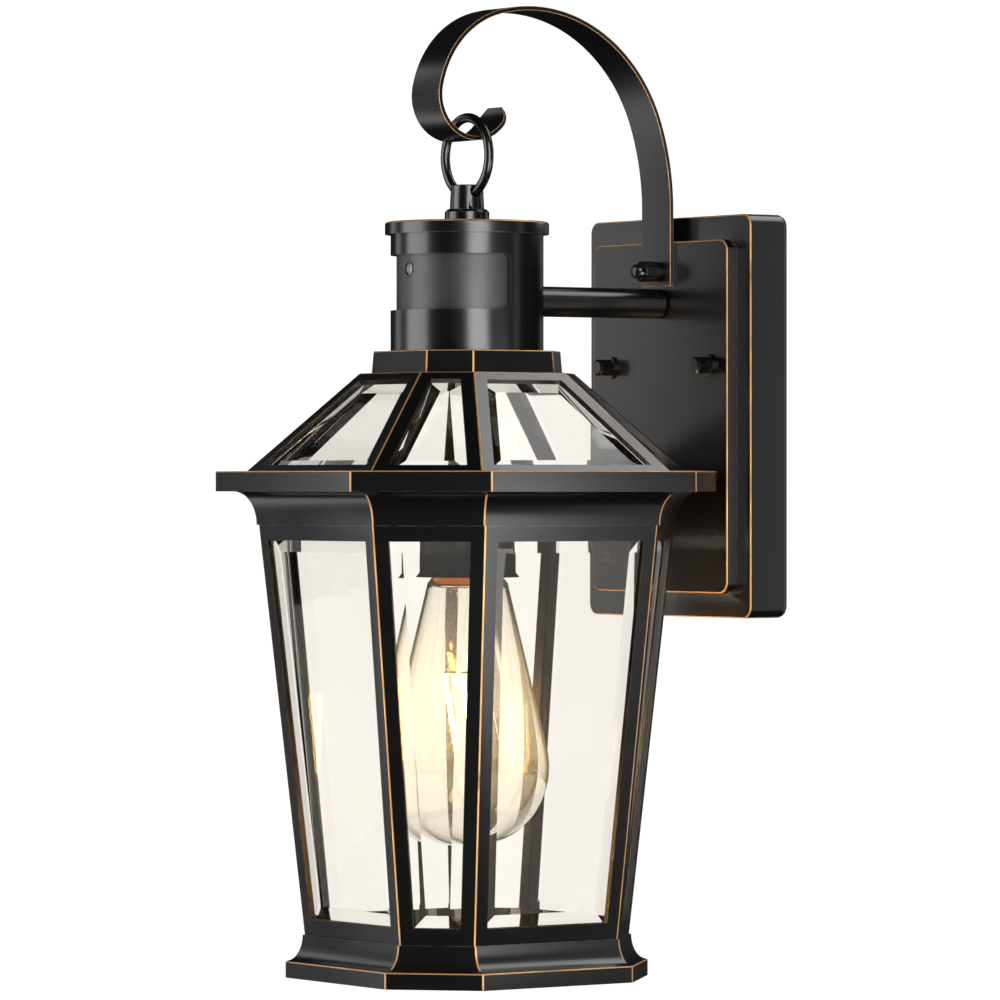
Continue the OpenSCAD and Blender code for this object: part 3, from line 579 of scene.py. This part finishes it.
def clear_for_lamps(tree, shader, tint):
    """Lets lamp light through the glass, tinted as the glass is."""
    rays = add(tree, "ShaderNodeLightPath", 3, 3)
    passing = add(tree, "ShaderNodeBsdfTransparent", 3, -2)
    passing.inputs["Color"].default_value = tint
    choice = add(tree, "ShaderNodeMixShader", 4.5, 0)
    tree.links.new(rays.outputs["Is Shadow Ray"], choice.inputs[0])
    tree.links.new(shader.outputs["BSDF"], choice.inputs[1])
    tree.links.new(passing.outputs["BSDF"], choice.inputs[2])
    tree.links.new(choice.outputs[0], tree.nodes["Material Output"].inputs["Surface"])


def glass(name, color, tint, wave, reflect=0.5):
    """Clear glass with a hardly visible waviness. Tint is what it does to lamp light."""
    finish, tree, shader = new_finish(name)
    sheet = use(tree, UNEVEN, Color=color, Roughness=GLASS_ROUGHNESS, Drift=0.01, Patch_Scale=25,
                Grain_Scale=60)
    surface_from(tree, shader, sheet, wave, 0.2)
    shader.inputs["Transmission Weight"].default_value = 1
    shader.inputs["IOR"].default_value = 1.5
    shader.inputs["Specular IOR Level"].default_value = reflect
    clear_for_lamps(tree, shader, tint)
    return finish


FINISH["pane_glass"] = glass(
    "bevelled_pane_glass", (1.0, 0.978, 0.940, 1), (0.93, 0.91, 0.87, 1), 0.01 * MM, PANE_SHINE)
FINISH["bulb_glass"] = glass(
    "blown_bulb_glass", (1.0, 0.98, 0.92, 1), (0.97, 0.92, 0.80, 1), 0.05 * MM)
print("glass:", FINISH["pane_glass"].name, "and", FINISH["bulb_glass"].name)

# %% [markdown]
# ## Haze and painted glow in the bulb
#
# Seen through a lens, a lit filament has a warm halo around it, and a real bulb's glass is seldom quite
# clean. The render has no such halo, so the bulb glass stands in for it: fine noise turns it dull in
# specks, and it gives off a faint warm painted glow of its own, though the glass is no lamp. The glow
# fades from the height of the filaments' middle to both ends of the bulb.

# %% Haze and painted glow
DUST_SCALE = 2600
DUST_PEAKS = (0.63, 0.67)        # noise values between which the glass turns dull
DUST_ROUGHNESS = 0.34
# Colour and strength of the painted glow in the bulb glass, which is no lamp.
PAINTED_GLOW_COLOR = (1.0, 0.74, 0.36)
PAINTED_GLOW_STRENGTH = 0.085


def dust(finish):
    """Fine dull specks over clear glass."""
    tree = finish.node_tree
    specks = noise(tree, DUST_SCALE, 2, -5, 4)
    dull = ranged(tree, specks, GLASS_ROUGHNESS, DUST_ROUGHNESS, -3, 4, *DUST_PEAKS)
    tree.links.new(dull, tree.nodes["Principled BSDF"].inputs["Roughness"])


def painted_halo_glow(finish, foot, heart, head):
    """A painted warm glow in the glass, strongest at the height of heart and gone at foot and head."""
    tree = finish.node_tree
    shader = tree.nodes["Principled BSDF"]
    place = add(tree, "ShaderNodeTexCoord", -6, 6)
    split = add(tree, "ShaderNodeSeparateXYZ", -5, 6)
    tree.links.new(place.outputs["Object"], split.inputs[0])
    fades = []
    for row, end in ((6, foot), (7, head)):
        fade = add(tree, "ShaderNodeMapRange", -4, row, interpolation_type="SMOOTHSTEP")
        fade.inputs["From Min"].default_value = end
        fade.inputs["From Max"].default_value = heart
        tree.links.new(split.outputs["Z"], fade.inputs["Value"])
        fades.append(fade.outputs["Result"])
    both = combined(tree, fades[0], fades[1], "MULTIPLY", -3, 6)
    painted_halo = add(tree, "ShaderNodeVectorMath", -1, 6, operation="SCALE")
    painted_halo.inputs[0].default_value = PAINTED_GLOW_COLOR
    tree.links.new(both, painted_halo.inputs["Scale"])
    # The glass's emission is painted light standing in for the filaments' halo.
    tree.links.new(painted_halo.outputs["Vector"], shader.inputs["Emission Color"])
    shader.inputs["Emission Strength"].default_value = PAINTED_GLOW_STRENGTH


bulb_low, bulb_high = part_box("bulb_glass")
dust(FINISH["bulb_glass"])
painted_halo_glow(FINISH["bulb_glass"], bulb_low.z, middle("filaments").z, bulb_high.z)
print(f"the glow in the bulb is strongest at z {middle('filaments').z / MM:.0f} mm")

# %% [markdown]
# ## The glowing filaments
#
# The bulb has six straight filaments, yellow white and a little uneven in heat. Their own surface emits,
# and a small warm lamp inside the bulb carries the light to the frame, because such thin rods alone would
# leave the render grainy. The lamp rides with the bulb.

# %% Filaments and bulb light
FILAMENT_COLOR = (1.0, 0.66, 0.26, 1)
FILAMENT_BRIGHTNESS = 55
LAMP_WATTS = 0.8
LAMP_RADIUS = 12 * MM


def filament_glow():
    """A rod that gives off yellow white light of its own."""
    finish, tree, shader = new_finish("glowing_filament")
    rod = use(tree, UNEVEN, Color=(0.9, 0.6, 0.25, 1), Roughness=0.5, Drift=0.15, Patch_Scale=300)
    surface_from(tree, shader, rod, 0.05 * MM, 0.3)
    heat = ranged(tree, noise(tree, 150, 2, -5, 3), 0.75, 1.0, -3, 3)
    light = add(tree, "ShaderNodeVectorMath", -1, 3, operation="SCALE")
    light.inputs[0].default_value = FILAMENT_COLOR[:3]
    tree.links.new(heat, light.inputs["Scale"])
    tree.links.new(light.outputs["Vector"], shader.inputs["Emission Color"])
    shader.inputs["Emission Strength"].default_value = FILAMENT_BRIGHTNESS
    return finish


FINISH["filament_glow"] = filament_glow()
glow_low, glow_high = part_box("filaments")
bulb_lamp = bpy.data.lights.new("bulb_light", "POINT")
bulb_lamp.energy = LAMP_WATTS
bulb_lamp.color = (1.0, 0.62, 0.27)
bulb_lamp.shadow_soft_size = LAMP_RADIUS
bulb_light = bpy.data.objects.new("bulb_light", bulb_lamp)
bulb_light.location = (glow_low + glow_high) / 2
bulb_light.visible_camera = False
bulb_light.visible_transmission = False
scene.collection.objects.link(bulb_light)
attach(bulb_light, BODY_OF["filaments"])
print(f"filaments glow between z {glow_low.z / MM:.0f} and {glow_high.z / MM:.0f} mm")

# %% [markdown]
# ## Small hardware
#
# Behind the plate and inside the lantern are zinc plated steel, stamped brass, wire and solder. They all
# use the drawn metal group, each with its own colour and line direction.

# %% Drawn and plated metals
def metal(name, color, roughness, stretch, worn=0.3):
    """A bare metal with drawn lines and slightly polished edges."""
    finish, tree, shader = new_finish(name)
    drawn = use(tree, DRAWN, Color=color, Roughness=roughness, Stretch=stretch)
    surface_from(tree, shader, drawn, 0.01 * MM, 0.4)
    edges = use(tree, EDGES, y=2, Reach=0.25 * MM, Break_Scale=400, Amount=worn)
    bright = [min(1, 1.4 * c) for c in color[:3]] + [1]
    shade = mixed(tree, edges.outputs["Mask"], drawn.outputs["Color"], bright)
    tree.links.new(shade, shader.inputs["Base Color"])
    shader.inputs["Metallic"].default_value = 1
    return finish


ROUND_LINES = (900, 900, 2500)
FINISH["zinc_steel"] = metal("zinc_plated_steel", (0.60, 0.61, 0.64, 1), 0.34, (120, 2500, 2500))
FINISH["sensor_can"] = metal("plated_sensor_can", (0.68, 0.68, 0.70, 1), 0.22, ROUND_LINES)
FINISH["socket_brass"] = metal("stamped_brass", (0.72, 0.50, 0.22, 1), 0.30, ROUND_LINES)
FINISH["cap_brass"] = metal("copper_toned_cap", (0.78, 0.36, 0.12, 1), 0.28, ROUND_LINES)
FINISH["contact_solder"] = metal("dull_solder", (0.55, 0.55, 0.57, 1), 0.45, ROUND_LINES, worn=0.1)
FINISH["wire_nickel"] = metal("nickel_wire", (0.58, 0.53, 0.46, 1), 0.28, (2500, 2500, 200), worn=0.1)
print("metals:", ", ".join(sorted(FINISH)))

# %% [markdown]
# ## Moulded and painted small parts
#
# The sensor lens is satin smoked plastic, which spreads reflections wider than the paint around it. The
# driver box, the seal, the wires and the ceramic socket are duller than the lens, and the board, the
# ground screw and the black glass in the bulb's cap are glossier. All share the uneven group and the worn
# edges, with their own gloss, grain and edge tone.

# %% Moulded parts
def moulded(name, color, roughness, grain, depth, edge, worn=0.3, coat=0.0, sheen=0.5):
    """A plastic, rubber, ceramic or dyed surface with a tone of its own along its edges."""
    finish, tree, shader = new_finish(name)
    skin = use(tree, UNEVEN, Color=color, Roughness=roughness, Drift=0.12, Grain_Scale=grain)
    surface_from(tree, shader, skin, depth, 0.4)
    edges = use(tree, EDGES, y=2, Reach=0.3 * MM, Break_Scale=350, Amount=worn)
    shade = mixed(tree, edges.outputs["Mask"], skin.outputs["Color"], edge)
    tree.links.new(shade, shader.inputs["Base Color"])
    shader.inputs["Specular IOR Level"].default_value = sheen
    shader.inputs["Coat Weight"].default_value = coat
    shader.inputs["Coat Roughness"].default_value = 0.06
    return finish


PALE_EDGE = (0.16, 0.16, 0.165, 1)
FINISH["sensor_plastic"] = moulded(
    "smoked_lens_plastic", (0.006, 0.006, 0.006, 1), 0.46, 900, 0.01 * MM, PALE_EDGE, sheen=1.0)
FINISH["module_plastic"] = moulded(
    "driver_box_plastic", (0.035, 0.035, 0.038, 1), 0.55, 1500, 0.05 * MM, PALE_EDGE)
FINISH["gasket_foam"] = moulded(
    "closed_cell_foam", (0.022, 0.022, 0.022, 1), 0.95, 1100, 0.2 * MM, (0.04, 0.04, 0.04, 1))
FINISH["board_green"] = moulded(
    "solder_mask", (0.015, 0.13, 0.05, 1), 0.35, 1800, 0.02 * MM, (0.5, 0.45, 0.2, 1))
FINISH["ground_green"] = moulded(
    "green_dyed_steel", (0.04, 0.26, 0.09, 1), 0.35, 2000, 0.01 * MM, (0.5, 0.5, 0.5, 1), worn=0.5)
FINISH["lead_insulation"] = moulded(
    "lead_insulation", (0.035, 0.034, 0.033, 1), 0.5, 1600, 0.02 * MM, PALE_EDGE)
FINISH["cap_insulator"] = moulded(
    "black_cap_glass", (0.012, 0.011, 0.012, 1), 0.15, 700, 0.02 * MM, PALE_EDGE, worn=0.2, coat=0.5)
FINISH["socket_ceramic"] = moulded(
    "unglazed_ceramic", (0.78, 0.75, 0.69, 1), 0.6, 1300, 0.06 * MM, (0.45, 0.38, 0.30, 1), worn=0.35)
missing = sorted(set(SLOT_OF.values()) - set(FINISH))
print(f"{len(FINISH)} finishes for {len(set(SLOT_OF.values()))} slots, missing: {missing}")

# %% [markdown]
# ## Dressing the CAD pieces
#
# Most pieces already have the right shape, so they only need their finish. The slot that the record
# gives each piece says which one. The pieces named as unrubbed take the second black paint instead.

# %% Dress the CAD pieces
UNRUBBED = ("hook_screw", "cap_nut_left", "cap_nut_right", "arm_tube", "hanging_ring", "socket_cup")


def finish_of(node):
    """The finish of a piece's slot, or the black paint with next to no wear."""
    return FRESH_BLACK if node in UNRUBBED else FINISH[SLOT_OF[node]]


for node, piece in frame["nodes"].items():
    piece.data.materials.clear()
    piece.data.materials.append(finish_of(node))
print(f"dressed {len(frame['nodes'])} pieces")

# %% [markdown]
# ## Softened and rubbed edges
#
# A CAD edge is perfectly sharp, and a real casting's is not. The big black pieces are rebuilt from the
# CAD shape: coplanar triangles are joined back into whole faces, then the chosen edges are cut back and
# given the copper finish, and every other sharp edge gets a small round. The rounds are real geometry,
# so they catch a thin highlight as paint does.

# %% Rebuilding a piece with worked edges
RUB_WIDTH = 0.42 * MM
SOFT_WIDTH = 0.22 * MM
SHARP = radians(24)
PAINT, RUB = 0, 1


def whole_faces(node):
    """The CAD piece's shape with its flat faces in one piece each."""
    shape = bmesh.new()
    shape.from_mesh(frame["nodes"][node].data)
    bmesh.ops.remove_doubles(shape, verts=shape.verts, dist=0.002 * MM)
    bmesh.ops.dissolve_limit(shape, angle_limit=radians(0.5), verts=shape.verts, edges=shape.edges)
    shape.normal_update()
    return shape


def is_ridge(edge, limit=SHARP):
    """True for an edge that stands out by more than the limit."""
    return edge.is_manifold and edge.calc_face_angle_signed(0) > limit


def cut_back(shape, edges, width, finish):
    """Rounds these edges and gives the new faces a finish."""
    if edges:
        bmesh.ops.bevel(shape, geom=edges, offset=width, offset_type="OFFSET", segments=2, profile=0.5,
                        affect="EDGES", clamp_overlap=True, material=finish)


def finish_piece(shape, node, name, materials):
    """Makes the object, smooths it, and puts it in place of its CAD piece."""
    for face in shape.faces:
        face.smooth = True
    mesh = bpy.data.meshes.new(name)
    shape.to_mesh(mesh)
    shape.free()
    mesh.set_sharp_from_angle(angle=radians(50))
    for material in materials:
        mesh.materials.append(material)
    piece = bpy.data.objects.new(name, mesh)
    scene.collection.objects.link(piece)
    weighted = piece.modifiers.new("flat faces stay flat", "WEIGHTED_NORMAL")
    weighted.keep_sharp = True
    weighted.weight = 80
    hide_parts(node)
    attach(piece, BODY_OF[node])
    print(f"{name}: {len(mesh.polygons)} faces")
    return piece


def worked(node, name, rubbed=None, painted=None, rub=RUB_WIDTH, soft=SOFT_WIDTH):
    """A CAD piece with rubbed lines on some edges and soft rounds on the rest."""
    shape = whole_faces(node)
    for face in shape.faces:
        face.material_index = PAINT
    if rubbed:
        cut_back(shape, [e for e in shape.edges if is_ridge(e) and rubbed(e)], rub, RUB)
        shape.normal_update()
    plain = [e for e in shape.edges
             if is_ridge(e) and all(f.material_index == PAINT for f in e.link_faces)]
    cut_back(shape, plain, soft, -1)
    if painted:
        shape.normal_update()
        for face in shape.faces:
            if painted(face):
                face.material_index = RUB
    return finish_piece(shape, node, name, [finish_of(node), COPPER])


def centre_of(edge):
    return (edge.verts[0].co + edge.verts[1].co) / 2


def near(value, target, slack=0.15 * MM):
    return abs(value - target) < slack


# %% [markdown]
# ## The eight-sided pieces
#
# The collar, roof, eave, body and base are all rings of eight faces. Their corner lines are rubbed, and
# so are the outer top edges of the collar, the roof, the eave and the base's band. A corner line is easy
# to tell from the windows' edges: the two faces beside it meet at a flat angle, well under a right angle.

# %% Eight-sided frames
CORNER = (radians(26), radians(62))


def is_corner(edge):
    """True for a line between two neighbouring outer faces."""
    return CORNER[0] < edge.calc_face_angle_signed(0) < CORNER[1]


def rises(edge):
    """True for an edge that runs up or down rather than round the ring."""
    along = edge.verts[1].co - edge.verts[0].co
    return abs(along.z) > 0.35 * along.length


def ring_rule(at=(), inner=0.0):
    """Corner lines, and the outer edges at the given heights that lie beyond the inner distance."""
    def rule(edge):
        if rises(edge):
            return is_corner(edge)
        mid = centre_of(edge)
        return from_axis(mid) > inner and any(near(mid.z, z) for z in at)
    return rule


def top_of(node):
    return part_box(node)[1].z


BASE_BAND = 6.8 * MM             # height of the base's upright band
base_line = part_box("base_moulding")[0].z + BASE_BAND

worked("roof_collar", "collar", ring_rule([top_of("roof_collar")], 32.2 * MM))
worked("roof_frame", "roof", ring_rule([top_of("roof_frame")], 30 * MM))
worked("eave_moulding", "eave", ring_rule([top_of("eave_moulding")], 88 * MM))
worked("body_frame", "body", ring_rule())
worked("base_moulding", "base", ring_rule([base_line], 60 * MM))

# %% [markdown]
# ## Wall plate
#
# The plate is one casting: a deep pan with a raised centre. Both front edges are rubbed all the way
# round, but the edges of the screw holes are not. The pan's rounded upper and lower corners also carry a
# short copper line running back to the wall.

# %% Wall plate
plate_low, plate_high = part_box("wall_plate")
PAN_FRONT = -19.4 * MM
RIM_BAND = 8 * MM                # how far in from its own outline a rim's edge may lie
RAISED_SIDE = 47.65 * MM
RAISED_TOP = 74.1 * MM
CORNER_ARC = (radians(62), radians(80))


def plate_rim(edge):
    """The two front outlines of the plate."""
    mid = centre_of(edge)
    if near(mid.y, PAN_FRONT):
        return abs(mid.x) > plate_high.x - RIM_BAND or abs(mid.z) > plate_high.z - RIM_BAND
    if near(mid.y, plate_low.y):
        return abs(mid.x) > RAISED_SIDE - RIM_BAND or abs(mid.z) > RAISED_TOP - RIM_BAND
    return False


def rubbed_corner(face):
    """The narrow strip of a rounded corner that is rubbed, on the pan only."""
    normal = face.normal
    spot = face.calc_center_median()
    turned = atan2(abs(normal.z), abs(normal.x))
    return (abs(normal.y) < 0.05 and CORNER_ARC[0] < turned < CORNER_ARC[1]
            and abs(spot.z) > plate_high.z - 2 * MM and spot.y > PAN_FRONT)


worked("wall_plate", "plate", plate_rim, rubbed_corner, rub=0.5 * MM)

# %% [markdown]
# ## Strap hook
#
# The hook is a flat strap rolled into a crook, with a rounded tip. The rub runs along all four of its long
# edges and round the tip. Only the hole for the thumb screw keeps its paint.

# %% Strap hook
SCREW_ROOM = 5 * MM
screw_z = middle("hook_screw").z


def strap_edge(edge):
    mid = centre_of(edge)
    return hypot(mid.x, mid.z - screw_z) > SCREW_ROOM or abs(mid.x) > SCREW_ROOM


worked("hook_strap", "strap", strap_edge, rub=0.62 * MM)

# %% [markdown]
# ## Sensor housing, cap and stem
#
# The cap's rounded top rim is rubbed, and the housing below it is plain black. The cap and the housing get
# the widest rounds on their other edges, the stem a little less, and the small cap nuts the least.

# %% Housing, cap and stem
cap_top = top_of("top_cap")


def cap_rim(face):
    """The upper part of the cap's rounded rim."""
    spot = face.calc_center_median()
    return 0.45 < face.normal.z < 0.985 and spot.z > cap_top - 1.2 * MM and from_axis(spot) > 25 * MM


worked("top_cap", "cap", painted=cap_rim, soft=0.35 * MM)
worked("sensor_housing", "housing", soft=0.35 * MM)
worked("stem", "stem_post", soft=0.25 * MM)
for side in ("left", "right"):
    worked(f"cap_nut_{side}", f"plate_nut_{side}", soft=0.18 * MM)

# %% [markdown]
# ## Photocell
#
# The small round eye in the lens is a black bezel with a grey window in it. Both are turned shapes: a
# short outline is spun about the axis that points out of the wall.

# %% Photocell
def turned_piece(name, outline, centre, steps=48):
    """Spins an outline of (radius, distance in front of the centre) about the Y direction."""
    shape = bmesh.new()
    rings = []
    for radius, front in outline:
        ring = [
            shape.verts.new(centre + Vector((radius * cos(2 * pi * k / steps), -front,
                                             radius * sin(2 * pi * k / steps))))
            for k in range(steps)
        ]
        rings.append(ring)
    for low, high in zip(rings, rings[1:]):
        for k in range(steps):
            nxt = (k + 1) % steps
            shape.faces.new((low[k], low[nxt], high[nxt], high[k]))
    shape.faces.new(list(reversed(rings[0])))
    shape.faces.new(rings[-1])
    bmesh.ops.recalc_face_normals(shape, faces=shape.faces)
    for face in shape.faces:
        face.smooth = True
    mesh = bpy.data.meshes.new(name)
    shape.to_mesh(mesh)
    shape.free()
    mesh.set_sharp_from_angle(angle=radians(40))
    piece = bpy.data.objects.new(name, mesh)
    scene.collection.objects.link(piece)
    return piece


cell_low, cell_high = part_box("photocell")
cell_at = Vector((0, cell_low.y, (cell_low.z + cell_high.z) / 2))
cell_r = (cell_high.z - cell_low.z) / 2
cell_depth = 4 * MM
bezel = turned_piece(
    "photocell_bezel",
    [(0.3 * cell_r, -cell_depth), (cell_r, -cell_depth), (cell_r, -0.25 * MM), (0.93 * cell_r, 0),
     (0.80 * cell_r, 0), (0.74 * cell_r, -0.2 * MM), (0.72 * cell_r, -0.9 * MM), (0.3 * cell_r, -0.9 * MM)],
    cell_at,
)
window_dome = [
    (0.70 * cell_r * cos(t), -0.9 * MM + 0.5 * MM * sin(t)) for t in (radians(15 * k) for k in range(6))
]
window = turned_piece("photocell_window", [(0.70 * cell_r, -1.4 * MM)] + window_dome, cell_at)
FINISH["cell_window"] = moulded(
    "photocell_window", (0.16, 0.16, 0.165, 1), 0.25, 700, 0.02 * MM, (0.3, 0.3, 0.3, 1),
    worn=0.2, coat=0.6)
for piece, finish in ((bezel, "sensor_plastic"), (window, "cell_window")):
    piece.data.materials.append(FINISH[finish])
    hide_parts("photocell")
    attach(piece, BODY_OF["photocell"])
print(f"photocell {2 * cell_r / MM:.1f} mm across")

# %% [markdown]
# ## Size
#
# The last step measures how far the finished model stands outside the CAD model's box.

# %% Finish
visual_low, visual_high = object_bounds()
grown = max(max(cad_low - visual_low), max(visual_high - cad_high)) / MM
print(f"the visual model stands {grown:.2f} mm outside the CAD box at most")
